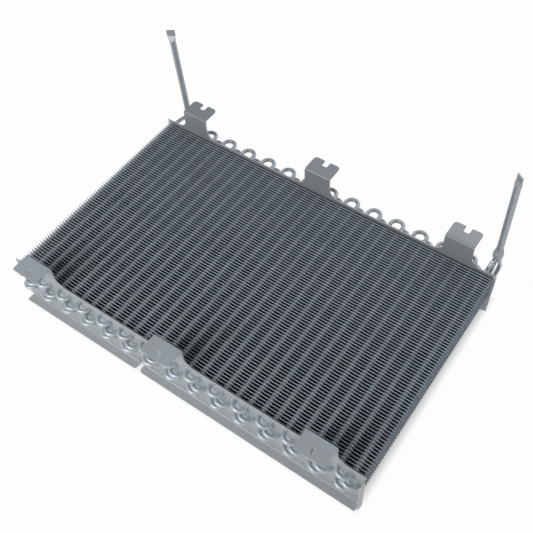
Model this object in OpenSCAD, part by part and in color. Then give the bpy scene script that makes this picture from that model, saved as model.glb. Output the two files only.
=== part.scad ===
// Finned evaporator coil: three rows of hairpin tubes through 75 plate fins,
// between two sheet-metal tube sheets with mounting lugs and brackets.
// X runs along the tube sheets, -Y is the side of the hairpin bends, +Z is up.
// The origin is at the middle of the footprint, level with the lowest flange.

/* [Tubes] */
// Outer diameter of the coil tubes
tube_d = 7.94; // [7.6:0.02:8.3]
// Wall thickness of the coil tubes
tube_wall = 0.6; // [0.4:0.05:1]
// Clearance around a tube in a fin or a tube sheet
tube_gap = 0.1; // [0.05:0.01:0.2]
// Outer diameter of the belled tube ends behind the back sheet
bell_d = 9.3; // [9.1:0.1:10]
// Depth of the belled tube ends
bell_depth = 8; // [6:0.5:9]
// How far the return bends stand behind the front face of the back sheet
return_reach = 19.5; // [17:0.5:24]

/* [Fins] */
// Distance from one fin to the next
fin_pitch = 6; // [5:0.5:7]
// Thickness of a fin
fin_t = 0.4; // [0.3:0.05:0.6]

/* [Tube sheets] */
// Thickness of the sheet metal
sheet_t = 2; // [1.5:0.1:2.5]
// Height of the tube sheets
sheet_h = 115; // [113:1:120]
// Inner radius of the sheet-metal bends
bend_r = 2; // [1:0.5:3]
// How far the bottom flanges reach out
foot_reach = 16; // [12:0.5:25]

/* [Lugs and brackets] */
// Width of a lug or bracket
lug_w = 58; // [50:1:70]
// Distance from one lug to the next
lug_pitch = 304.8; // [280:0.1:310]
// Height of the top face of the lugs and brackets
lug_z = 162.5; // [155:0.5:180]
// How far a lug or bracket reaches out from its tube sheet
lug_reach = 37.5; // [36:0.5:45]
// Diameter of the hole in a lug
lug_hole_d = 11; // [8:0.5:13]
// Distance from the tube sheet to the middle of a lug hole
lug_hole_out = 25; // [20:0.5:28]
// Width of the open slot in a bracket
slot_w = 12; // [9:0.5:14]
// Depth of the open slot in a bracket
slot_depth = 14.5; // [10:0.5:20]
// Radius of the fillets at the foot of a lug or bracket
flare_r = 20; // [10:1:24]

/* [Standing pipes] */
// Outer diameter of the standing pipes
pipe_d = 12.7; // [12:0.1:14]
// Wall thickness of the standing pipes
pipe_wall = 1; // [0.8:0.1:1.4]
// Height of the pinched top of the left pipe
left_top_z = 317; // [280:1:340]
// Height of the pinched top of the right pipe
right_top_z = 335; // [300:1:360]
// Width of the pinched end of the left pipe
left_pinch_w = 17; // [15:0.5:19]
// Width of the pinched end of the right pipe
right_pinch_w = 15; // [14:0.5:19]
// Length of the pinched pipe ends
pinch_len = 24; // [18:1:30]

/* [Hidden] */
$fn = 64;

// Standard coil pattern: 30 tubes a row, three staggered rows
tube_pitch = 25.4;
row_pitch = 22;
tubes_per_row = 30;
rows = 3;
row_top_z = 99;
tube_r = tube_d / 2;
bore_r = tube_r - tube_wall;
hole_r = tube_r + tube_gap;
bend_centre_r = tube_pitch / 2;

// Fin pack
fin_count = 75;
fins_per_bank = 5;
core_depth = (fin_count + 1) * fin_pitch;
fin_w = tubes_per_row * tube_pitch;
fin_h = rows * row_pitch;
fin_z = row_top_z - fin_h + row_pitch / 2;

// Faces of the two tube sheets that look to the front. The fin pack sits a
// little forward of the origin, which is the middle of the overall footprint.
core_y = -10;
front_y = core_y - core_depth / 2;
back_y = core_y + core_depth / 2;
sheet_w = fin_w + 10;
bend_out = bend_r + sheet_t;
foot_w = fin_w - 1;

// Hairpin bends start just in front of the front sheet
hairpin_y = front_y - 0.5;
hairpins_per_node = 5;
returns_per_node = 7;
return_y = back_y + return_reach;
bell_start_y = back_y + 4;
bell_flare = 1.6;
seat_gap = 0.08;
bell_bore_r = tube_r + seat_gap;
seat_y = bell_start_y + bell_flare + 0.4;

// End flange of the front sheet, and the corner cut from its lower end
end_low_z = 5;
end_top_z = 110;
end_cut = 10;
foot_corner_r = 2;
sheet_corner_r = 3;
lug_corner_r = 4;
bracket_corner_r = 7.5;
slot_corner_r = 3;
slot_lip_r = 2.5;

// Small slots in the web of the front sheet: x, z, length. The first turns down
// at its right end and opens into the notch of the bottom flange.
web_slots = [[-99, 20, 13], [-60, 14.5, 11], [328, 20.5, 8]];
web_slot_h = 3.4;

// Notch through the bottom flange of the front sheet
notch_x = -91;
notch_w = 10;
notch_h = 5;
notch_lip_r = 6;

// Left header, which leans a little above its bend
header_x = -368.3;
header_y = back_y + 47;
header_low_z = 44;
header_bend_z = 128;
header_lean = -3.6;
header_bend_r = 60;
leg_turn_y = back_y + 20;
leg_stop = 3;
pipe_r = pipe_d / 2;
pipe_bore_r = pipe_r - pipe_wall;
cap_wall = 1;
cap_h = 7.5;
cap_floor = 1.5;

// Pinched ends: half the seam thickness, length of the flat seam, turn about the pipe
seam_half = 1.2;
seam_len = pinch_len / 2;
left_pinch_turn = 29;
right_pinch_turn = -36;

// Right pipe, its collar and the three legs below it
riser_x = 368.3;
riser_y = back_y + 37;
riser_lean = -1.1;
collar_low_z = 127;
collar_h = 19;
collar_wall = 0.6;
neck_h = 6;
neck_wall = 0.9;
plate_t = 3;
plate_lift = 1.5;
plate_gap = 0.05;
plate_rim = 0.2;
leg_clear = 0.3;
leg_ring_r = (tube_d + leg_clear) / sqrt(3);
collar_d = 2 * (leg_ring_r + tube_r + plate_rim + 2 * plate_gap + collar_wall);
leg_top_z = collar_low_z + plate_lift + plate_t + 1.5;
leg_bend_r = 10;

// Row r counts from the top, tube i counts from the left
function row_z(r) = row_top_z - r * row_pitch;
function row_shift(r) = (r % 2) / 2;
function tube_x(r, i) = (i + row_shift(r) - (tubes_per_row - 1) / 2 - 0.25) * tube_pitch;
function first_x(r) = tube_x(r, 0);
function last_x(r) = tube_x(r, tubes_per_row - 1);

// Joints inside a bent pipe: gap between run and bend, then the height and half
// the length of the fine ring that closes it
joint_gap = 0.1;
joint_bead = 0.03;
joint_ring = 0.4;

function unit(v) = v / norm(v);

// Moves an upright shape so that it starts at p and points along direction d
module aim(p, d) {
  u = unit(d);
  side = unit(cross(abs(u[2]) > 0.9 ? [0, 1, 0] : [0, 0, 1], u));
  up = cross(u, side);
  multmatrix([
    [side[0], up[0], u[0], p[0]],
    [side[1], up[1], u[1], p[1]],
    [side[2], up[2], u[2], p[2]],
    [0, 0, 0, 1]
  ])
    children();
}

// One round bend of a pipe around the corner b, between the runs a-b and b-c
module pipe_corner(a, b, c, bend, r) {
  u = unit(b - a);
  v = unit(c - b);
  turn = acos(u * v);
  start = b - u * bend * tan(turn / 2);
  inward = unit(v - (u * v) * u);
  centre = start + inward * bend;
  side = cross(-inward, u);
  multmatrix([
    [-inward[0], u[0], side[0], centre[0]],
    [-inward[1], u[1], side[1], centre[1]],
    [-inward[2], u[2], side[2], centre[2]],
    [0, 0, 0, 1]
  ])
    rotate_extrude(angle = turn)
      translate([bend, 0])
        circle(r = r);
}

// Length of straight pipe that a round bend takes up on each side of corner i
function bend_cut(path, i, bend) =
  i <= 0 || i >= len(path) - 1
    ? 0
    : bend * tan(acos(unit(path[i] - path[i - 1]) * unit(path[i + 1] - path[i])) / 2);

// Solid rod of radius r along a path, with round bends at its inner corners.
// A fine ring at each end of a bend closes the joint between bend and run.
module rod(path, bend, r) {
  last = len(path) - 1;
  for (i = [0:last - 1]) {
    run = path[i + 1] - path[i];
    cut_a = bend_cut(path, i, bend);
    cut_b = bend_cut(path, i + 1, bend);
    start = path[i] + unit(run) * (cut_a + (i > 0 ? joint_gap : 0));
    stop = path[i + 1] - unit(run) * (cut_b + (i < last - 1 ? joint_gap : 0));
    aim(start, run)
      cylinder(h = norm(stop - start), r = r);
    if (i > 0)
      aim(path[i] + unit(run) * (cut_a - joint_ring), run)
        cylinder(h = 2 * joint_ring, r = r + joint_bead);
    if (i < last - 1)
      aim(path[i + 1] - unit(run) * (cut_b + joint_ring), run)
        cylinder(h = 2 * joint_ring, r = r + joint_bead);
  }
  for (i = [1:last - 1])
    pipe_corner(path[i - 1], path[i], path[i + 1], bend, r);
}

// The same path with its two ends lengthened by e
function longer(path, e) = [
  for (i = [0:len(path) - 1])
    i == 0
      ? path[0] - unit(path[1] - path[0]) * e
      : i == len(path) - 1
        ? path[i] + unit(path[i] - path[i - 1]) * e
        : path[i]
];

// Hollow bent pipe along a path
module bent_pipe(path, bend, r, bore) {
  difference() {
    rod(path, bend, r);
    rod(longer(path, 1), bend, bore);
  }
}

// Small piece between a right-angled corner at the origin and an arc of radius r
module sliver(r) {
  difference() {
    translate([-1, -1])
      square([r + 1, r + 1]);
    translate([r, r])
      circle(r = r);
  }
}

// Outline drawn in the X-Z plane, as sheet metal from y = 0 to the sheet thickness
module upright_plate() {
  translate([0, sheet_t, 0])
    rotate([90, 0, 0])
      linear_extrude(height = sheet_t)
        children();
}

// Outline drawn in the Y-Z plane, extruded along X from x by w
module along_x(x, w) {
  translate([x, 0, 0])
    rotate([90, 0, 90])
      linear_extrude(height = w)
        children();
}

// Quarter ring of a sheet-metal bend, with its centre at the origin
module bend_ring() {
  intersection() {
    difference() {
      circle(r = bend_out);
      circle(r = bend_r);
    }
    square([bend_out + 1, bend_out + 1]);
  }
}

// Web of a tube sheet with three stems; turned is -1 for the sheet that faces back
module web_outline(turned) {
  difference() {
    union() {
      translate([-sheet_w / 2, bend_out])
        square([sheet_w, sheet_h - bend_out]);
      for (k = [-1:1])
        translate([k * lug_pitch, sheet_h]) {
          translate([-lug_w / 2, -1])
            square([lug_w, lug_z - bend_out - sheet_h + 1]);
          for (s = [-1, 1])
            translate([s * lug_w / 2, 0])
              scale([s, 1])
                sliver(flare_r);
        }
    }
    for (r = [0:rows - 1])
      for (i = [0:tubes_per_row - 1])
        translate([turned * tube_x(r, i), row_z(r)])
          circle(r = hole_r);
    for (s = [-1, 1])
      translate([s * sheet_w / 2, sheet_h])
        scale([-s, -1])
          sliver(sheet_corner_r);
  }
}

// Lug top: flat plate with rounded corners and one round hole
module lug_outline() {
  difference() {
    translate([-lug_w / 2, -lug_reach])
      square([lug_w, lug_reach - bend_r]);
    for (s = [-1, 1])
      translate([s * lug_w / 2, -lug_reach])
        scale([-s, 1])
          sliver(lug_corner_r);
    translate([0, -lug_hole_out])
      circle(d = lug_hole_d);
  }
}

// Bracket top: flat plate with rounded corners and one open slot
module bracket_outline() {
  inner = slot_w - 2 * slot_corner_r;
  difference() {
    translate([-lug_w / 2, -lug_reach])
      square([lug_w, lug_reach - bend_r]);
    for (s = [-1, 1]) {
      translate([s * lug_w / 2, -lug_reach])
        scale([-s, 1])
          sliver(bracket_corner_r);
      translate([s * slot_w / 2, -lug_reach])
        scale([s, 1])
          sliver(slot_lip_r);
      translate([s * inner / 2, slot_depth - lug_reach - slot_corner_r])
        circle(r = slot_corner_r);
    }
    translate([-slot_w / 2, -lug_reach - 1])
      square([slot_w, slot_depth - slot_corner_r + 1]);
    translate([-inner / 2, -lug_reach - 1])
      square([inner, slot_depth + 1]);
  }
}

// Tube sheet with flanges towards -y; the children are the outline of a lug top
module tube_sheet(turned, end_flange) {
  difference() {
    upright_plate()
      web_outline(turned);
    if (end_flange)
      translate([sheet_w / 2 - bend_out, -1, 0])
        cube([bend_out + 1, sheet_t + 2, end_top_z]);
  }
  for (k = [-1:1])
    translate([k * lug_pitch, 0, 0]) {
      along_x(-lug_w / 2, lug_w)
        translate([-bend_r, lug_z - bend_out])
          bend_ring();
      translate([0, 0, lug_z - sheet_t])
        linear_extrude(height = sheet_t)
          children();
    }
  along_x(-foot_w / 2, foot_w)
    translate([-bend_r, bend_out])
      scale([1, -1])
        bend_ring();
  linear_extrude(height = sheet_t)
    difference() {
      translate([-foot_w / 2, -foot_reach])
        square([foot_w, foot_reach - bend_r]);
      for (s = [-1, 1])
        translate([s * foot_w / 2, -foot_reach])
          scale([-s, 1])
            sliver(foot_corner_r);
    }
  if (end_flange) {
    translate([sheet_w / 2 - bend_out, -bend_r, end_low_z])
      linear_extrude(height = end_top_z - end_low_z)
        bend_ring();
    along_x(sheet_w / 2 - sheet_t, sheet_t)
      polygon([
        [-bend_r, end_low_z],
        [-bend_r, end_top_z],
        [-foot_reach, end_top_z],
        [-foot_reach, end_low_z + end_cut]
      ]);
  }
}

// Cutter for one round-ended slot in the web, centred at x and z
module web_slot(x, z, length) {
  run = length - web_slot_h;
  translate([x, -1, z])
    rotate([-90, 0, 0])
      linear_extrude(height = sheet_t + 2) {
        translate([-run / 2, -web_slot_h / 2])
          square([run, web_slot_h]);
        for (e = [-1, 1])
          translate([e * run / 2, 0])
            circle(d = web_slot_h);
      }
}

// Cutter for the notch through the bottom flange, with a rounded lip on each side
module flange_notch() {
  translate([notch_x, 0, -1])
    linear_extrude(height = notch_h + 1)
      difference() {
        translate([-notch_w / 2 - notch_lip_r, -foot_reach - 1])
          square([notch_w + 2 * notch_lip_r, foot_reach + sheet_t + 2]);
        for (s = [-1, 1]) {
          translate([s * notch_w / 2, -foot_reach + notch_lip_r])
            scale([s, 1])
              square([notch_lip_r + 1, foot_reach + sheet_t + 2]);
          translate([s * (notch_w / 2 + notch_lip_r), -foot_reach + notch_lip_r])
            circle(r = notch_lip_r);
        }
      }
}

// Front tube sheet with round lug holes, three web slots and a flange notch
module front_sheet() {
  color([0.64, 0.67, 0.69])
    translate([0, front_y, 0])
      difference() {
        tube_sheet(1, true)
          lug_outline();
        for (s = web_slots)
          web_slot(s[0], s[1], s[2]);
        translate([web_slots[0][0] + web_slots[0][2] / 2 - web_slot_h, -1, notch_h - 1])
          cube([web_slot_h, sheet_t + 2, web_slots[0][1] - notch_h + 1]);
        flange_notch();
      }
}

// Back tube sheet with open slots in its brackets
module back_sheet() {
  color([0.48, 0.51, 0.54])
    translate([0, back_y + sheet_t, 0])
      rotate([0, 0, 180])
        tube_sheet(-1, false)
          bracket_outline();
}

// One plate fin, punched for every tube
module fin(index) {
  translate([0, front_y + index * fin_pitch + fin_t / 2, 0])
    rotate([90, 0, 0])
      linear_extrude(height = fin_t)
        difference() {
          translate([-fin_w / 2, fin_z])
            square([fin_w, fin_h]);
          for (r = [0:rows - 1])
            for (i = [0:tubes_per_row - 1])
              translate([tube_x(r, i), row_z(r)])
                circle(r = hole_r);
        }
}

// Bank of neighbouring fins, counted from the front sheet
module fins(bank) {
  color([0.46, 0.49, 0.52])
    for (k = [1:fins_per_bank])
      fin((bank - 1) * fins_per_bank + k);
}

// Hollow half turn in the X-Y plane that bulges towards side * Y
module half_turn(x, y, z, side) {
  translate([x, y, z])
    rotate([0, 0, side > 0 ? 0 : 180])
      rotate_extrude(angle = 180)
        translate([bend_centre_r, 0])
          difference() {
            circle(r = tube_r);
            circle(r = bore_r);
          }
}

// Straight hollow leg along Y from y_low to y_high
module leg_run(x, z, y_low, y_high) {
  translate([x, y_low, z])
    rotate([-90, 0, 0])
      linear_extrude(height = y_high - y_low)
        difference() {
          circle(r = tube_r);
          circle(r = bore_r);
        }
}

// Belled end of a hairpin leg along Y
module bell(x, z) {
  translate([x, bell_start_y, z])
    rotate([-90, 0, 0])
      rotate_extrude()
        polygon([
          [bore_r, 0], [tube_r, 0], [bell_d / 2, bell_flare], [bell_d / 2, bell_depth],
          [bell_bore_r, bell_depth], [bell_bore_r, bell_flare], [bore_r, bell_flare - 0.4]
        ]);
}

// One hairpin tube with a round bend in front and two belled ends behind
module hairpin(r, j) {
  a = tube_x(r, 2 * j);
  z = row_z(r);
  half_turn(a + bend_centre_r, hairpin_y, z, -1);
  for (x = [a, a + tube_pitch]) {
    leg_run(x, z, hairpin_y, bell_start_y);
    bell(x, z);
  }
}

// Group of hairpins of one row
module hairpins(r, part) {
  color([0.60, 0.63, 0.65])
    for (j = [0:hairpins_per_node - 1])
      hairpin(r, part * hairpins_per_node + j);
}

// One return bend between two neighbouring hairpins
module return_bend(r, j) {
  a = tube_x(r, 2 * j + 1);
  z = row_z(r);
  half_turn(a + bend_centre_r, return_y, z, 1);
  for (x = [a, a + tube_pitch])
    leg_run(x, z, seat_y, return_y);
}

// Group of return bends of one row
module returns(r, part) {
  color([0.56, 0.59, 0.61])
    for (j = [0:returns_per_node - 1])
      return_bend(r, part * returns_per_node + j);
}

// Closed pinched end of width w: a cone between two slanting flats, then a flat seam
module pinched_end(w) {
  rise = pinch_len - seam_len;
  wide = pipe_r + 0.6;
  translate([0, 0, -1])
    cylinder(h = 1.6, r = pipe_r + joint_bead);
  intersection() {
    union() {
      cylinder(h = rise, r1 = pipe_r, r2 = w / 2);
      translate([0, 0, rise])
        cylinder(h = seam_len, r = w / 2);
    }
    translate([-w, 0, 0])
      rotate([90, 0, 90])
        linear_extrude(height = 2 * w)
          polygon([
            [-wide, -1], [wide, -1], [wide, 0], [seam_half, rise], [seam_half, pinch_len + 1],
            [-seam_half, pinch_len + 1], [-seam_half, rise], [-wide, 0]
          ]);
  }
}

// Point at height z on a line that starts at p and leans by angle a in the X-Z plane
function lean_point(p, a, z) = [p[0] + (z - p[2]) * tan(a), p[1], z];

// End of the left leg of row r, on its way to the axis of the header
function left_leg_path(r) =
  let (
    seat = [first_x(r), seat_y, row_z(r)],
    turn = [first_x(r), leg_turn_y, row_z(r)],
    axis = [header_x, header_y, row_z(r)]
  )
  [seat, turn, axis - unit(axis - turn) * leg_stop];

// Left leg of row r
module left_leg(r) {
  color([0.50, 0.53, 0.56])
    bent_pipe(left_leg_path(r), 40, tube_r, bore_r);
}

// Left pipe: header below, standing pipe above, with three side holes
module left_header() {
  foot = [header_x, header_y, header_low_z];
  knee = [header_x, header_y, header_bend_z];
  top = lean_point(knee, header_lean, left_top_z - pinch_len);
  color([0.50, 0.53, 0.56]) {
    difference() {
      bent_pipe([foot, knee, top], header_bend_r, pipe_r, pipe_bore_r);
      for (r = [0:rows - 1]) {
        path = left_leg_path(r);
        aim(path[1], path[2] - path[1])
          cylinder(h = norm(path[2] - path[1]) + 0.5, r = tube_r + seat_gap);
      }
    }
    aim(top, top - knee)
      rotate([0, 0, left_pinch_turn])
        pinched_end(left_pinch_w);
  }
}

// Cup-shaped cap under the left header
module header_cap() {
  inner = pipe_r + seat_gap;
  outer = inner + cap_wall;
  color([0.46, 0.49, 0.52])
    translate([header_x, header_y, header_low_z - cap_floor])
      rotate_extrude()
        polygon([
          [0, 0], [outer - 1, 0], [outer, 1], [outer, cap_h],
          [inner, cap_h], [inner, cap_floor], [0, cap_floor]
        ]);
}

// Right pipe, seated in the neck of its collar
module right_riser() {
  foot = [riser_x, riser_y, collar_low_z + collar_h - neck_h];
  knee = [riser_x, riser_y, collar_low_z + collar_h + 6];
  top = lean_point(knee, riser_lean, right_top_z - pinch_len);
  color([0.50, 0.53, 0.56]) {
    bent_pipe([foot, knee, top], header_bend_r, pipe_r, pipe_bore_r);
    aim(top, top - knee)
      rotate([0, 0, right_pinch_turn])
        pinched_end(right_pinch_w);
  }
}

// Bell-shaped collar that joins three legs to the right pipe
module right_collar() {
  outer = collar_d / 2;
  inner = outer - collar_wall;
  neck = pipe_r + seat_gap;
  shoulder_z = collar_h - neck_h - 4;
  color([0.54, 0.57, 0.60])
    translate([riser_x, riser_y, collar_low_z])
      rotate_extrude()
        polygon([
          [inner, 0], [outer, 0], [outer, shoulder_z], [neck + neck_wall, collar_h - neck_h + 1],
          [neck + neck_wall, collar_h], [neck, collar_h], [neck, collar_h - neck_h],
          [inner, shoulder_z - 0.5]
        ]);
}

// Place of the leg of row r inside the collar
function leg_top(r) =
  let (a = [240, 0, 120][r])
  [riser_x + leg_ring_r * cos(a), riser_y + leg_ring_r * sin(a), leg_top_z];

// Plate inside the collar that holds the three legs
module branch_plate() {
  color([0.52, 0.55, 0.58])
    difference() {
      translate([riser_x, riser_y, collar_low_z + plate_lift])
        cylinder(h = plate_t, r = collar_d / 2 - collar_wall - plate_gap);
      for (r = [0:rows - 1])
        translate([leg_top(r)[0], leg_top(r)[1], collar_low_z])
          cylinder(h = collar_h, r = tube_r + plate_gap);
    }
}

// Right leg of row r: down from the collar, then forward into the belled tube end
module right_leg(r) {
  top = leg_top(r);
  drop_z = [117, 117, 121][r];
  corner_y = back_y + [19.5, 57, 56][r];
  path = [
    top,
    [top[0], top[1], drop_z],
    [last_x(r), corner_y, row_z(r)],
    [last_x(r), seat_y, row_z(r)]
  ];
  color([0.50, 0.53, 0.56])
    bent_pipe(path, leg_bend_r, tube_r, bore_r);
}

front_sheet();
back_sheet();
fins(1);  // fins_01
fins(2);  // fins_02
fins(3);  // fins_03
fins(4);  // fins_04
fins(5);  // fins_05
fins(6);  // fins_06
fins(7);  // fins_07
fins(8);  // fins_08
fins(9);  // fins_09
fins(10);  // fins_10
fins(11);  // fins_11
fins(12);  // fins_12
fins(13);  // fins_13
fins(14);  // fins_14
fins(15);  // fins_15
hairpins(0, 0);  // hairpins_top_left
hairpins(0, 1);  // hairpins_top_mid
hairpins(0, 2);  // hairpins_top_right
hairpins(1, 0);  // hairpins_mid_left
hairpins(1, 1);  // hairpins_mid_mid
hairpins(1, 2);  // hairpins_mid_right
hairpins(2, 0);  // hairpins_low_left
hairpins(2, 1);  // hairpins_low_mid
hairpins(2, 2);  // hairpins_low_right
returns(0, 0);  // returns_top_left
returns(0, 1);  // returns_top_right
returns(1, 0);  // returns_mid_left
returns(1, 1);  // returns_mid_right
returns(2, 0);  // returns_low_left
returns(2, 1);  // returns_low_right
left_header();
header_cap();
left_leg(0);  // left_leg_top
left_leg(1);  // left_leg_mid
left_leg(2);  // left_leg_low
right_riser();
right_collar();
branch_plate();
right_leg(0);  // right_leg_top
right_leg(1);  // right_leg_mid
right_leg(2);  // right_leg_low
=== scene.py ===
# %% [markdown]
# # A finned evaporator coil
# The object is the cold side of a refrigeration unit. Three rows of hairpin
# tubes run through 75 thin plate fins, and two bent tube sheets hold the pack
# together. In the photograph all of it has the same satin grey. The shapes come
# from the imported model, so this lesson is about looks: how coated sheet,
# sheared edges, drawn tube and brazed joints are told apart when they all have
# nearly the same grey.

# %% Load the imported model
import math

import bmesh
import bpy
from mathutils import Matrix, Vector


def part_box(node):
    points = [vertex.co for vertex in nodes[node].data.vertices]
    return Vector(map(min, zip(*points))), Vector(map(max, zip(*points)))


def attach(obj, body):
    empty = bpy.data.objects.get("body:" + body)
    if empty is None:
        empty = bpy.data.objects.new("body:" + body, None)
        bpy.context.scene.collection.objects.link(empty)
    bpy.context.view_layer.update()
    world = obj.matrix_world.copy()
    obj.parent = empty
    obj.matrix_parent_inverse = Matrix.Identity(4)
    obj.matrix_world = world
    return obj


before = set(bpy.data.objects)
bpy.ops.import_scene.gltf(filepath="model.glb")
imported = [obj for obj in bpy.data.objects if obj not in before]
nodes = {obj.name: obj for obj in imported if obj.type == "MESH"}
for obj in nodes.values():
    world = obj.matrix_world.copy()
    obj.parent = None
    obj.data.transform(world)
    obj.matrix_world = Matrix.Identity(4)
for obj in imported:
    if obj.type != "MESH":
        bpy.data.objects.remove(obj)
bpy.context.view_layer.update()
MM = 0.001

# %% [markdown]
# ## Camera
# The coil is seen from the front right and well above, so that the fins are
# read from their top edges and the front sheet from its outer face. A camera
# can be aimed with a constraint, but a written rotation is steadier: its three
# axes are stated as columns, and nothing else has to exist first.

# %% Place the camera
CAMERA_PLACE = Vector((0.5606, -0.6627, 1.2646))
CAMERA_RIGHT = Vector((0.8161, 0.5763, -0.0436))
CAMERA_BACK = Vector((0.3734, -0.4682, 0.8009))
CAMERA_LENS_MM = 52.35

back = CAMERA_BACK.normalized()
right = (CAMERA_RIGHT - CAMERA_RIGHT.dot(back) * back).normalized()
up = back.cross(right)
camera_data = bpy.data.cameras.new("camera")
camera_data.lens = CAMERA_LENS_MM
camera_data.sensor_width = 36
camera_data.clip_start = 0.05
camera_data.clip_end = 50
camera = bpy.data.objects.new("camera", camera_data)
turn = Matrix((right, up, back)).transposed()
camera.matrix_world = Matrix.Translation(CAMERA_PLACE) @ turn.to_4x4()
bpy.context.scene.collection.objects.link(camera)
bpy.context.scene.camera = camera
print("camera height above the floor:", round(camera.location.z, 3), "m")

# %% [markdown]
# ## Small helpers for materials
# Every finish below is a short chain of nodes. Two helpers keep the cells
# readable: one adds a node and wires its inputs by name, the other starts a
# material with one shader. Values that are the same all over the surface are
# set on the shader's own sockets, because they survive an export best there.

# %% Helpers: start a material, add a node
def new_finish(name):
    """A new material with one shader; returns material, shader, and its node tree."""
    material = bpy.data.materials.new(name)
    material.use_nodes = True
    tree = material.node_tree
    tree.nodes.clear()
    output = tree.nodes.new("ShaderNodeOutputMaterial")
    shader = tree.nodes.new("ShaderNodeBsdfPrincipled")
    tree.links.new(shader.outputs["BSDF"], output.inputs["Surface"])
    return material, shader, tree


def add(tree, kind, inputs=None, **settings):
    """Adds a node. Inputs are numbers or other nodes' outputs, settings are its options."""
    node = tree.nodes.new(kind)
    for key, value in settings.items():
        setattr(node, key, value)
    for key, value in (inputs or {}).items():
        if isinstance(value, bpy.types.NodeSocket):
            tree.links.new(value, node.inputs[key])
        else:
            node.inputs[key].default_value = value
    return node


print("start a material with new_finish, add nodes with add")

# %% [markdown]
# ## Small helpers for numbers, colours and noise
# A finish mixes a few greys by soft noise. These helpers do one step each:
# arithmetic, a range, a blend, the place on the object, and the noise itself.

# %% Helpers: numbers, colours and noise
def maths(tree, operation, a, b=0.0, c=0.0):
    """One arithmetic step; returns the output."""
    return add(tree, "ShaderNodeMath", {0: a, 1: b, 2: c}, operation=operation).outputs[0]


def between(tree, value, low, high, to_low, to_high):
    """Maps value from low..high to to_low..to_high and clamps it."""
    inputs = {"Value": value, "From Min": low, "From Max": high, "To Min": to_low, "To Max": to_high}
    return add(tree, "ShaderNodeMapRange", inputs).outputs["Result"]


def mixed(tree, share, first, second):
    """Blends two colours by share."""
    node = add(tree, "ShaderNodeMix", data_type="RGBA")
    for socket, value in ((node.inputs[0], share), (node.inputs[6], first), (node.inputs[7], second)):
        if isinstance(value, bpy.types.NodeSocket):
            tree.links.new(value, socket)
        else:
            socket.default_value = value
    return node.outputs[2]


def place(tree, stretch=(1, 1, 1)):
    """The point on the object in metres, optionally stretched along its axes."""
    where = add(tree, "ShaderNodeTexCoord").outputs["Object"]
    if tuple(stretch) == (1, 1, 1):
        return where
    return add(tree, "ShaderNodeMapping", {"Vector": where, "Scale": stretch}).outputs["Vector"]


def cloud(tree, where, scale, detail=4.0, rough=0.55):
    """Soft noise from 0 to 1 at the given scale per metre."""
    inputs = {"Vector": where, "Scale": scale, "Detail": detail, "Roughness": rough}
    return add(tree, "ShaderNodeTexNoise", inputs).outputs["Fac"]


def grey(value, cool=0.0):
    """A near-neutral colour; cool tips it towards blue."""
    return (value * (0.95 - 0.05 * cool), value, value * (1.02 + 0.07 * cool), 1.0)


print("helpers for numbers, colours and noise are ready")

# %% [markdown]
# ## Coated sheet metal
# The tube sheets are bent from sheet and coated. Faint lines along the sheet
# and a slightly cloudy tone stand for that, and the cut edges are brighter. The
# edges can be found without painting anything: on a sheet that stands across Y,
# a cut edge is a face that looks along X or Z and lies within the sheet's own
# thickness.
#
# Three tones are chosen for the picture and are no fact of the real sheet. They
# are painted light and shade. The back sheet is darker than the front one: a
# painted shade of the fin pack in front of it. The bottom flanges are a little
# lighter, and the back sheet is lighter beyond and below the fins: painted light
# that the lamps of this scene don't bring there.

# %% Finish for the tube sheets
SHEET_T = 2.0 * MM
FIN_T = 0.4 * MM
FIN_PITCH = 6.0 * MM
fin_low, fin_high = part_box("fins_01")


def coat_bump(tree, coarse, fine, strength, distance):
    """Bump from a coarse and a fine height; returns the normal."""
    height = maths(tree, "MULTIPLY_ADD", fine, 0.35, coarse)
    inputs = {"Height": height, "Strength": strength, "Distance": distance}
    return add(tree, "ShaderNodeBump", inputs).outputs["Normal"]


def sheared_edges(tree, face_y):
    """1 on the cut edges of a sheet with its faces at face_y and one thickness behind."""
    normal = add(tree, "ShaderNodeSeparateXYZ", {0: add(tree, "ShaderNodeTexCoord").outputs["Normal"]})
    point = add(tree, "ShaderNodeSeparateXYZ", {0: place(tree)})
    sideways = maths(tree, "LESS_THAN", maths(tree, "ABSOLUTE", normal.outputs["Y"]), 0.35)
    middle = face_y + SHEET_T / 2
    depth = maths(tree, "ABSOLUTE", maths(tree, "SUBTRACT", point.outputs["Y"], middle))
    inside = maths(tree, "LESS_THAN", depth, SHEET_T / 2 + 0.2 * MM)
    return maths(tree, "MULTIPLY", sideways, inside)


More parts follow.
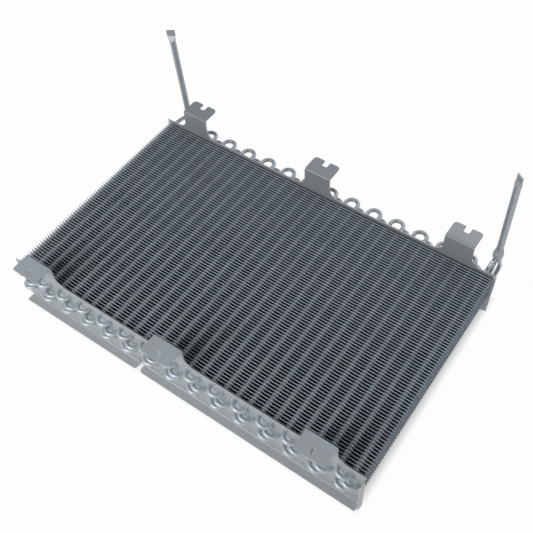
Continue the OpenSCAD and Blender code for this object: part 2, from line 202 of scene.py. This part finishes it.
def sheet_finish(name, tone, face_y, foot_painted_light, open_painted_light):
    """Satin coated sheet across Y; painted light brightens its foot and what the fins leave open."""
    material, shader, tree = new_finish(name)
    clouds = cloud(tree, place(tree), 9.0, 5.0)
    rolling = cloud(tree, place(tree, (0.035, 1.0, 1.0)), 620.0, 3.0)
    speckle = cloud(tree, place(tree), 900.0, 2.0)
    scuffs = cloud(tree, place(tree, (1.0, 0.12, 0.45)), 160.0, 6.0, 0.7)
    cloudy = between(tree, clouds, 0.3, 0.7, 0.0, 1.0)
    coat = mixed(tree, cloudy, grey(tone * 0.95), grey(tone * 1.05, 0.8))
    coat = mixed(tree, between(tree, rolling, 0.42, 0.75, 0.0, 0.20), coat, grey(tone * 1.22))
    coat = mixed(tree, between(tree, scuffs, 0.62, 0.74, 0.0, 0.25), coat, grey(tone * 0.78))
    point = add(tree, "ShaderNodeSeparateXYZ", {0: place(tree)})
    side = maths(tree, "ABSOLUTE", point.outputs["X"])
    # Painted light: the sheet is lighter beyond the fins and below them.
    beyond = between(tree, side, fin_high.x - 0.5 * MM, fin_high.x + 0.5 * MM, 0.0, 1.0)
    below = between(tree, point.outputs["Z"], fin_low.z - 4 * MM, fin_low.z + 2 * MM, 1.0, 0.0)
    coat = mixed(tree, maths(tree, "MAXIMUM", beyond, below), coat, grey(tone * open_painted_light))
    # Painted light: the bottom flange is lighter than the web.
    foot = between(tree, point.outputs["Z"], SHEET_T + 0.1 * MM, SHEET_T + 0.4 * MM, 1.0, 0.0)
    coat = mixed(tree, foot, coat, grey(tone * foot_painted_light))
    edges = sheared_edges(tree, face_y)
    colour = mixed(tree, maths(tree, "MULTIPLY", edges, 0.75), coat, grey(0.62))
    tree.links.new(colour, shader.inputs["Base Color"])
    rough = maths(tree, "MULTIPLY_ADD", rolling, 0.10, 0.36)
    rough = maths(tree, "MULTIPLY_ADD", clouds, 0.10, rough)
    tree.links.new(rough, shader.inputs["Roughness"])
    tree.links.new(coat_bump(tree, rolling, speckle, 0.16, 0.00025), shader.inputs["Normal"])
    shader.inputs["Metallic"].default_value = 0.25
    shader.inputs["IOR"].default_value = 1.45
    return material


front_face_y = fin_low.y + FIN_T / 2 - FIN_PITCH
back_face_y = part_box("fins_15")[1].y - FIN_T / 2 + FIN_PITCH
# The back sheet's lower tone is painted shade of the fin pack in front of it.
front_coat = sheet_finish("front_sheet_coat", 0.42, front_face_y, 1.12, 1.0)
back_coat = sheet_finish("back_sheet_coat", 0.33, back_face_y, 1.1, 1.9)
print("sheet faces at y =", round(front_face_y, 4), "and", round(back_face_y, 4))

# %% [markdown]
# ## Fin stock
# Fins are punched from thin strip. The photograph shows light rims and dark
# gaps. Shading alone left the gaps too pale here, so the material darkens with
# the distance from the fin's outer edge: painted shade in the gaps between the
# fins. It is a choice for the picture, not something known of the coat. The
# sheared edge is brighter still. Each fin also differs a little from its
# neighbours, which a number drawn from its place along Y gives: one value for
# each fin.

# %% Finish for the fins
EDGE_DEPTH = 0.12 * MM
RIM_DEPTH = 1.4 * MM
FULL_SHADE_DEPTH = 4.4 * MM


def fin_finish():
    """Strip with bright edges, a light rim and painted shade deeper in; each fin has its own tone."""
    material, shader, tree = new_finish("fin_strip")
    point = add(tree, "ShaderNodeSeparateXYZ", {0: place(tree)})
    count = maths(tree, "ROUND", maths(tree, "DIVIDE", point.outputs["Y"], FIN_PITCH))
    own = add(tree, "ShaderNodeTexWhiteNoise", {"W": count}, noise_dimensions="1D").outputs["Value"]
    clouds = cloud(tree, place(tree), 24.0, 5.0)
    grain = cloud(tree, place(tree, (0.08, 1.0, 1.0)), 700.0, 3.0)
    tone = mixed(tree, own, grey(0.41, 1.5), grey(0.50, 1.0))
    tone = mixed(tree, between(tree, clouds, 0.35, 0.75, 0.0, 0.35), tone, grey(0.58, 1.0))
    from_top = maths(tree, "SUBTRACT", fin_high.z, point.outputs["Z"])
    from_foot = maths(tree, "SUBTRACT", point.outputs["Z"], fin_low.z)
    from_side = maths(tree, "SUBTRACT", fin_high.x, maths(tree, "ABSOLUTE", point.outputs["X"]))
    depth = maths(tree, "MINIMUM", maths(tree, "MINIMUM", from_top, from_foot), from_side)
    # Painted shade: the fin darkens with depth from its outer edge, towards near black.
    tone = mixed(tree, between(tree, depth, RIM_DEPTH, FULL_SHADE_DEPTH, 0.0, 1.0), tone, grey(0.078, 2.0))
    edge = maths(tree, "LESS_THAN", depth, EDGE_DEPTH)
    worn = between(tree, cloud(tree, place(tree), 210.0, 3.0), 0.3, 0.7, 0.35, 1.0)
    colour = mixed(tree, maths(tree, "MULTIPLY", edge, worn), tone, grey(0.66, 1.0))
    tree.links.new(colour, shader.inputs["Base Color"])
    tree.links.new(maths(tree, "MULTIPLY_ADD", grain, 0.16, 0.36), shader.inputs["Roughness"])
    tree.links.new(coat_bump(tree, grain, clouds, 0.2, 0.0002), shader.inputs["Normal"])
    shader.inputs["Metallic"].default_value = 0.1
    shader.inputs["IOR"].default_value = 1.4
    return material


fin_strip = fin_finish()
print("fins stand from z =", round(fin_low.z, 4), "to", round(fin_high.z, 4))

# %% [markdown]
# ## Drawn tube
# Hairpins, return bends and the standing pipes are drawn tube. Drawing leaves
# fine lines along the tube, and handling leaves small dark scuffs. The tubes that
# run through the fins lie along Y, so their lines are noise stretched along Y;
# the standing pipes need the same noise stretched along Z.

# %% Finish for tubes, pipes and fittings
def tube_finish(name, tone, stretch, metal=0.3, rough_base=0.34, scuff=0.3):
    """Coated drawn tube with faint lines along its length and a few scuffs."""
    material, shader, tree = new_finish(name)
    lines = cloud(tree, place(tree, stretch), 900.0, 3.0)
    clouds = cloud(tree, place(tree), 38.0, 5.0)
    marks = cloud(tree, place(tree), 260.0, 6.0, 0.7)
    cloudy = between(tree, clouds, 0.3, 0.7, 0.0, 1.0)
    colour = mixed(tree, cloudy, grey(tone * 0.92), grey(tone * 1.08, 1.0))
    colour = mixed(tree, between(tree, lines, 0.45, 0.8, 0.0, 0.25), colour, grey(tone * 1.3))
    colour = mixed(tree, between(tree, marks, 0.6, 0.72, 0.0, scuff), colour, grey(tone * 0.6))
    tree.links.new(colour, shader.inputs["Base Color"])
    rough = maths(tree, "MULTIPLY_ADD", clouds, 0.14, rough_base)
    tree.links.new(maths(tree, "MULTIPLY_ADD", marks, 0.12, rough), shader.inputs["Roughness"])
    tree.links.new(coat_bump(tree, lines, marks, 0.14, 0.0002), shader.inputs["Normal"])
    shader.inputs["Metallic"].default_value = metal
    shader.inputs["IOR"].default_value = 1.5
    return material


coil_tube = tube_finish("coil_tube", 0.50, (1.0, 0.04, 1.0), metal=0.5, rough_base=0.27)
standing_pipe = tube_finish("standing_pipe", 0.42, (1.0, 1.0, 0.04), metal=0.45, rough_base=0.28)
leg_tube = tube_finish("leg_tube", 0.46, (1.0, 0.3, 0.3), metal=0.6, rough_base=0.20)
fitting_metal = tube_finish("fitting_metal", 0.42, (1.0, 1.0, 1.0), rough_base=0.34)
print("tube finishes ready")

# %% [markdown]
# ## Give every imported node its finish
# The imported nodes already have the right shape, so they stay as they are and
# only get a better material. Nodes are sorted by the start of their names.

# %% Assign the finishes
FINISH_OF = {
    "front_sheet": front_coat,
    "back_sheet": back_coat,
    "fins_": fin_strip,
    "hairpins_": coil_tube,
    "returns_": coil_tube,
    "left_leg": leg_tube,
    "right_leg": leg_tube,
    "left_header": standing_pipe,
    "right_riser": standing_pipe,
    "header_cap": fitting_metal,
    "right_collar": fitting_metal,
    "branch_plate": fitting_metal,
}
for name, node in nodes.items():
    finish = next(f for start, f in FINISH_OF.items() if name.startswith(start))
    node.data.materials.clear()
    node.data.materials.append(finish)
print("finishes on", len(nodes), "nodes")

# %% [markdown]
# ## Brazed joints
# Each return bend is brazed into the bell of its hairpin. The alloy is drawn
# into the joint and leaves a small hollow ring, a fillet, at the mouth of the
# bell. A ring could be a torus, but a fillet is hollow towards the outside and
# never quite even, so it is lathed here from a short curve, with a slight
# wander in its size round the tube. The photograph hides most of these joints,
# so they are drawn as such joints usually look.

# %% Helper: a lathed fillet ring
def wander(angle, seed):
    """A small repeatable unevenness round a ring, about -1 to 1."""
    return 0.55 * math.sin(2 * angle + seed * 1.7) + 0.45 * math.sin(5 * angle + seed * 2.9)


def skin(mesh, rings, closed):
    """Joins each ring of points to the next with faces; closed also joins last to first."""
    for i, ring in enumerate(rings):
        following = rings[(i + 1) % len(rings)]
        for j in range(len(ring) if closed else len(ring) - 1):
            k = (j + 1) % len(ring)
            mesh.faces.new((ring[j], ring[k], following[k], following[j]))


def add_fillet(mesh, centre, axis, inner, outer, rise, seed, steps=28, curve=5):
    """Lathes a hollow fillet: outer radius at the seat, inner radius at height rise."""
    along = Vector(axis).normalized()
    side = along.orthogonal().normalized()
    other = along.cross(side)
    rings = []
    for i in range(steps):
        angle = 2 * math.pi * i / steps
        spoke = math.cos(angle) * side + math.sin(angle) * other
        swell = 1 + 0.16 * wander(angle, seed)
        ring = []
        for j in range(curve + 1):
            bow = math.pi / 2 * j / curve
            reach = inner + (outer - inner) * swell * (1 - math.sin(bow))
            height = rise * swell * (1 - math.cos(bow))
            ring.append(mesh.verts.new(centre + spoke * reach + along * height))
        ring.append(mesh.verts.new(centre + spoke * (inner - 0.0001)))
        rings.append(ring)
    skin(mesh, rings, closed=True)


def finish_piece(name, mesh, material):
    """Turns a bmesh into a smooth piece that rides with the coil."""
    bmesh.ops.recalc_face_normals(mesh, faces=mesh.faces)
    data = bpy.data.meshes.new(name)
    mesh.to_mesh(data)
    mesh.free()
    for face in data.polygons:
        face.use_smooth = True
    piece = bpy.data.objects.new(name, data)
    bpy.context.scene.collection.objects.link(piece)
    piece.data.materials.append(material)
    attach(piece, "root")
    return piece


braze_alloy = tube_finish("braze_alloy", 0.40, (1.0, 1.0, 1.0), rough_base=0.36, scuff=0.5)
print("fillet helper ready")

# %% [markdown]
# The places of the joints follow the coil's own pattern: 30 tubes a row on a
# 25.4 mm pitch, three rows 22 mm apart, the middle row shifted by half a
# pitch. Every tube end behind the back sheet is a bell with a bend or a leg in
# it, so every one of the 90 gets a fillet.

# %% Braze the 90 bells
TUBE_PITCH = 0.0254
ROW_PITCH = 0.022
TUBES_PER_ROW = 30
TUBE_R = 7.94 * MM / 2
BELL_R = 9.3 * MM / 2
top_row_z = (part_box("hairpins_top_mid")[0].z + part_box("hairpins_top_mid")[1].z) / 2
bell_mouth_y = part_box("hairpins_top_mid")[1].y


def tube_axis(row, number):
    """X and Z of a tube; rows count from the top, tubes from the left."""
    shift = (row % 2) / 2
    x = (number + shift - (TUBES_PER_ROW - 1) / 2 - 0.25) * TUBE_PITCH
    return x, top_row_z - row * ROW_PITCH


for row, row_name in enumerate(("top", "mid", "low")):
    fillets = bmesh.new()
    for number in range(TUBES_PER_ROW):
        x, z = tube_axis(row, number)
        mouth = Vector((x, bell_mouth_y, z))
        add_fillet(fillets, mouth, (0, 1, 0), TUBE_R, BELL_R - 0.0001, 0.0011, number + 31 * row)
    finish_piece(f"bell_brazing_{row_name}", fillets, braze_alloy)
print("fillets at y =", round(bell_mouth_y, 4), "m, top row at z =", round(top_row_z, 4))

# %% [markdown]
# ## Collars of the fins
# On many plate fins the punch draws a short collar out of the fin around every
# hole. It grips the tube and keeps the next fin at its distance. The photograph
# shows light bands along the tubes, and such collars would give them: from
# above they close the gaps between the fins. They are inferred from the bands.
# They are drawn out of the fin stock, yet their tone is set well above that of
# the fins: painted light, so that the bands show.
# The first fin stands close behind the front sheet, so its collars are shorter.
# One collar is a lathed outline. It is repeated for each tube and each gap, so
# all of a row goes straight into one list of points and faces.

# %% Lathe a collar into every gap
FIN_COUNT = 75
COLLAR_R = TUBE_R + 0.5 * MM
ROOT_R = COLLAR_R + 1.4 * MM
COLLAR_LENGTH = 5.55 * MM
FULL_COLLAR = [
    (ROOT_R, 0.0),
    (COLLAR_R + 0.35 * MM, 0.45 * MM),
    (COLLAR_R, 1.5 * MM),
    (COLLAR_R, COLLAR_LENGTH),
]
PLAIN_COLLAR = [(COLLAR_R, 0.0), (COLLAR_R, COLLAR_LENGTH)]
FIRST_COLLAR = 3.75 * MM
# Painted light: the collars are fin stock, yet get a tone far above the fins'.
collar_lit_strip = tube_finish("collar_lit_strip", 0.80, (1.0, 1.0, 1.0), metal=0.1, rough_base=0.4)


def collar_row(name, row, outline, sides):
    """All collars of one row of tubes, each drawn forwards; returns the number of faces."""
    spokes = [2 * math.pi * k / sides for k in range(sides)]
    points, faces = [], []
    for number in range(TUBES_PER_ROW):
        x, z = tube_axis(row, number)
        for fin in range(FIN_COUNT):
            root_y = fin_low.y + fin * FIN_PITCH
            longest = FIRST_COLLAR if fin == 0 else COLLAR_LENGTH
            first = len(points)
            for radius, out in outline:
                y = root_y - min(out, longest)
                points += [(x + radius * math.cos(a), y, z + radius * math.sin(a)) for a in spokes]
            for ring in range(len(outline) - 1):
                low = first + ring * sides
                for k in range(sides):
                    after = (k + 1) % sides
                    faces.append((low + k, low + after, low + sides + after, low + sides + k))
    data = bpy.data.meshes.new(name)
    data.from_pydata(points, [], faces)
    data.materials.append(collar_lit_strip)
    for face in data.polygons:
        face.use_smooth = True
    piece = bpy.data.objects.new(name, data)
    bpy.context.scene.collection.objects.link(piece)
    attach(piece, "root")
    return len(faces)


for row, row_name in enumerate(("top", "mid", "low")):
    hidden_row = row_name == "mid"
    outline, sides = (PLAIN_COLLAR, 8) if hidden_row else (FULL_COLLAR, 12)
    count = collar_row(f"fin_collars_{row_name}", row, outline, sides)
    print(row_name, "row:", TUBES_PER_ROW * FIN_COUNT, "collars,", 2 * count, "triangles")

# %% [markdown]
# ## Joints of the header and the collar
# Three legs run into the side of the left header, and three more meet under
# the collar of the right pipe. These joints are brazed too. A leg that enters
# a round pipe from the side meets it along a saddle curve, so its fillet is
# lathed round the leg and every point is then moved along the leg until it
# lies on the pipe.

# %% Braze the header, the cap and the collar
HEADER_R = 12.7 * MM / 2
cap_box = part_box("header_cap")
collar_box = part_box("right_collar")
header_x = (cap_box[0].x + cap_box[1].x) / 2
header_y = (cap_box[0].y + cap_box[1].y) / 2
riser_x = (collar_box[0].x + collar_box[1].x) / 2
riser_y = (collar_box[0].y + collar_box[1].y) / 2
LEG_TURN_Y = back_face_y + 20 * MM
SADDLE_W = 1.3 * MM


def add_saddle(mesh, leg_from, pipe_xy, pipe_r, leg_r, width, seed, steps=36, curve=4):
    """Lathes a fillet round a level leg where it enters an upright pipe."""
    centre = Vector((pipe_xy[0], pipe_xy[1], leg_from.z))
    along = (centre - leg_from).normalized()
    side = along.cross(Vector((0, 0, 1)))
    rings = []
    for i in range(steps):
        angle = 2 * math.pi * i / steps
        swell = width * (1 + 0.18 * wander(angle, seed))
        ring = []
        for j in range(curve + 1):
            bow = math.pi / 2 * j / curve
            reach = leg_r + swell * (1 - math.sin(bow))
            lift = swell * (1 - math.cos(bow))
            across = reach * math.cos(angle)
            surface = math.sqrt(max(pipe_r ** 2 - across ** 2, 0.0))
            point = centre - along * (surface + lift - 0.0001) + side * across
            point.z += reach * math.sin(angle)
            ring.append(mesh.verts.new(point))
        rings.append(ring)
    skin(mesh, rings, closed=False)


header_joints = bmesh.new()
for row in range(3):
    x, z = tube_axis(row, 0)
    leg_from = Vector((x, LEG_TURN_Y, z))
    add_saddle(header_joints, leg_from, (header_x, header_y), HEADER_R, TUBE_R, SADDLE_W, 7 + row)
cap_rim = Vector((header_x, header_y, cap_box[1].z))
add_fillet(header_joints, cap_rim, (0, 0, 1), HEADER_R, HEADER_R + 0.0010, 0.0012, 3, steps=36)
finish_piece("header_brazing", header_joints, braze_alloy)

collar_joints = bmesh.new()
neck_rim = Vector((riser_x, riser_y, collar_box[1].z))
add_fillet(collar_joints, neck_rim, (0, 0, 1), HEADER_R, HEADER_R + 0.0009, 0.0014, 5, steps=36)
finish_piece("collar_brazing", collar_joints, braze_alloy)
print("header at x =", round(header_x, 4), "m, collar at x =", round(riser_x, 4), "m")

# %% [markdown]
# ## Pressed points on the front flange
# The photograph shows two groups of three tiny bright specks on the bottom
# flange, one group on each side. They are read here as points pressed up out of
# the sheet. A flat spot of colour would not catch the light, so each is a low
# dome.

# %% Press six points into the flange
POINT_PLACES_X = [side * steps * TUBE_PITCH for side in (-1, 1) for steps in (8, 9, 10)]
POINT_Y = front_face_y - 10.8 * MM
POINT_R = 1.3 * MM
POINT_H = 0.55 * MM

pressed = bmesh.new()
for x in POINT_PLACES_X:
    dome = bmesh.ops.create_uvsphere(pressed, u_segments=20, v_segments=12, radius=1.0)["verts"]
    for vertex in dome:
        wide, deep, high = vertex.co
        vertex.co = Vector((x + POINT_R * wide, POINT_Y + POINT_R * deep, SHEET_T + POINT_H * high))
finish_piece("flange_points", pressed, front_coat)
print(len(POINT_PLACES_X), "points at y =", round(POINT_Y, 4), "m")

# %% [markdown]
# ## Studio
# The photograph has a white ground and soft light from all round, a little
# stronger from the front than from above. A white room could do that with
# many lamps. A world that is bright at the horizon and dimmer overhead does
# it with one.

# %% World
HORIZON_LIGHT = 0.62
OVERHEAD_LIGHT = 0.25
world = bpy.data.worlds.new("studio")
bpy.context.scene.world = world
world.use_nodes = True
sky = world.node_tree
sky.nodes.clear()
sky_out = sky.nodes.new("ShaderNodeOutputWorld")
sky_direction = add(sky, "ShaderNodeSeparateXYZ", {0: add(sky, "ShaderNodeTexCoord").outputs["Generated"]})
sky_light = between(sky, sky_direction.outputs["Z"], 0.0, 0.9, HORIZON_LIGHT, OVERHEAD_LIGHT)
sky_height = between(sky, sky_direction.outputs["Z"], 0.0, 0.9, 0.0, 1.0)
sky_colour = mixed(sky, sky_height, (0.99, 1.0, 1.01, 1.0), (0.94, 1.0, 1.05, 1.0))
sky_shader = add(sky, "ShaderNodeBackground", {"Color": sky_colour, "Strength": sky_light})
sky.links.new(sky_shader.outputs["Background"], sky_out.inputs["Surface"])
print("world strength from", HORIZON_LIGHT, "at the horizon to", OVERHEAD_LIGHT, "overhead")

# %% [markdown]
# ## Lamps
# The world gives no direction, so three large square lamps add it. The
# strongest stands in front on the left, one lights the coil from behind and
# one from the right. Their places and powers were set by comparing the
# brightness of small parts of the render with the photograph.

# %% Lamps
def soft_lamp(name, location, aim, size, power):
    """A large square lamp that points at aim."""
    data = bpy.data.lights.new(name, "AREA")
    data.size = size
    data.energy = power
    lamp = bpy.data.objects.new(name, data)
    lamp.location = location
    lamp.rotation_euler = (Vector(aim) - Vector(location)).to_track_quat("-Z", "Y").to_euler()
    bpy.context.scene.collection.objects.link(lamp)
    return lamp


soft_lamp("key_lamp", (-0.45, -1.45, 1.02), (-0.05, -0.1, 0.05), 0.9, 17)
soft_lamp("back_lamp", (0.2, 1.5, 1.5), (0.0, 0.0, 0.1), 0.8, 8)
soft_lamp("right_lamp", (2.0, -0.3, 1.0), (0.1, 0, 0.1), 1.0, 3)
print("three lamps placed")

# %% [markdown]
# ## Floor
# The ground of the photograph is pure white. A brighter lamp would get there
# but would bleach the coil. So the floor glows only where the camera, or a
# reflection, looks at it, and lights the coil as plain matt paint. Under the
# coil it doesn't glow at all, and a small share of paint stays everywhere else,
# so the shadow is kept.

# %% Floor
UNDER_COIL_X = (0.36, 0.39)
UNDER_COIL_Y = (0.22, 0.26)
GLOW_SHARE = 0.97


def floor_finish():
    """White floor that keeps a light shadow."""
    material, shader, tree = new_finish("white_floor")
    tree.nodes.remove(shader)
    rays = add(tree, "ShaderNodeLightPath").outputs
    seen = maths(tree, "MAXIMUM", rays["Is Camera Ray"], rays["Is Glossy Ray"])
    seen = maths(tree, "MAXIMUM", seen, rays["Is Transmission Ray"])
    mottle = cloud(tree, place(tree), 1.2)
    paint = mixed(tree, mottle, (0.74, 0.74, 0.74, 1), (0.78, 0.78, 0.78, 1))
    matt = add(tree, "ShaderNodeBsdfDiffuse", {"Color": paint}).outputs["BSDF"]
    glow = add(tree, "ShaderNodeEmission", {"Strength": 1.0}).outputs["Emission"]
    point = add(tree, "ShaderNodeSeparateXYZ", {0: place(tree)})
    beside = between(tree, maths(tree, "ABSOLUTE", point.outputs["X"]), *UNDER_COIL_X, 0.0, 1.0)
    before = between(tree, maths(tree, "ABSOLUTE", point.outputs["Y"]), *UNDER_COIL_Y, 0.0, 1.0)
    clear = maths(tree, "MAXIMUM", beside, before)
    share = maths(tree, "MULTIPLY", maths(tree, "MULTIPLY", seen, clear), GLOW_SHARE)
    both = add(tree, "ShaderNodeMixShader", {0: share, 1: matt, 2: glow}).outputs["Shader"]
    output = next(n for n in tree.nodes if n.type == "OUTPUT_MATERIAL")
    tree.links.new(both, output.inputs["Surface"])
    return material


floor_mesh = bmesh.new()
bmesh.ops.create_grid(floor_mesh, x_segments=4, y_segments=4, size=6.0)
floor_data = bpy.data.meshes.new("floor")
floor_mesh.to_mesh(floor_data)
floor_mesh.free()
floor = bpy.data.objects.new("floor", floor_data)
floor.location.z = -0.0002
floor_data.materials.append(floor_finish())
bpy.context.scene.collection.objects.link(floor)
bpy.context.scene.view_settings.view_transform = "Standard"
print("floor ready, view transform", bpy.context.scene.view_settings.view_transform)
